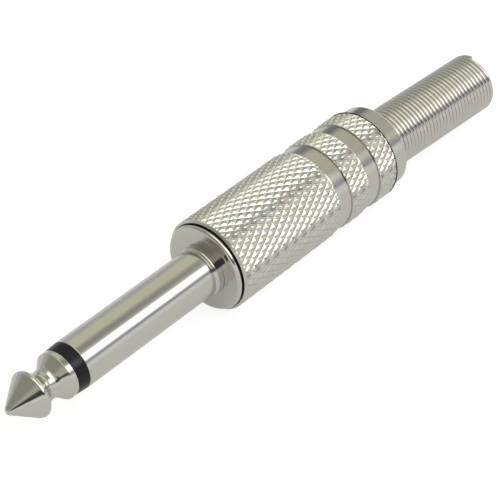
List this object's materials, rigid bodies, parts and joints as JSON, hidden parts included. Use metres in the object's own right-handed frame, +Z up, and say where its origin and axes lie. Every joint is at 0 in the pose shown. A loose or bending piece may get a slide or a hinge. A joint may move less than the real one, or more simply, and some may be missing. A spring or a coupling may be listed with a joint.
{
  "type": "mono jack plug",
  "caption": "Quarter-inch mono jack plug with a turned tip and sleeve, a knurled metal screw-on shell and a coiled wire cable guard.",
  "frame": {"origin": "on the plug's axis, at the front face of the flange", "axes": "+X along the axis from the tip towards the cable, +Z up, +Y to the left of a viewer who looks along +X"},
  "size_m": [0.088, 0.0124, 0.0125],
  "materials": {
    "nickel": "nickel plating over turned brass, slightly brushed around the axis",
    "nickel_knurl": "nickel plating over a diamond knurl and smooth turned bands",
    "nickel_wire": "nickel plated steel spring wire",
    "tinned_sheet": "tinned sheet metal",
    "rod_steel": "drawn steel rod",
    "black_plastic": "black moulded plastic, half gloss",
    "white_plastic": "milky insulating plastic"
  },
  "bodies": {
    "plug": {"tip": "nickel", "tip_insulator": "black_plastic", "centre_rod": "rod_steel", "insulating_tube": "white_plastic", "sleeve_shaft": "nickel", "threaded_flange": "nickel", "rear_washer": "black_plastic", "sleeve_terminal": "tinned_sheet", "centre_terminal": "tinned_sheet"},
    "liner": {"liner": "white_plastic"},
    "shell": {"shell": "nickel_knurl", "cable_guard": "nickel_wire"}
  },
  "joints": [
    {"name": "shell_travel", "type": "slide", "parent": "plug", "child": "liner", "axis": [1, 0, 0], "range_m": [0, 0.00525]},
    {"name": "shell_unscrew", "type": "hinge", "parent": "liner", "child": "shell", "pos_m": [0, 0, 0], "axis": [1, 0, 0], "range_deg": [0, 2520]}
  ],
  "couplings": [
    {"joint": "shell_unscrew", "follows": "shell_travel", "rad_per_m": 8377.6}
  ]
}
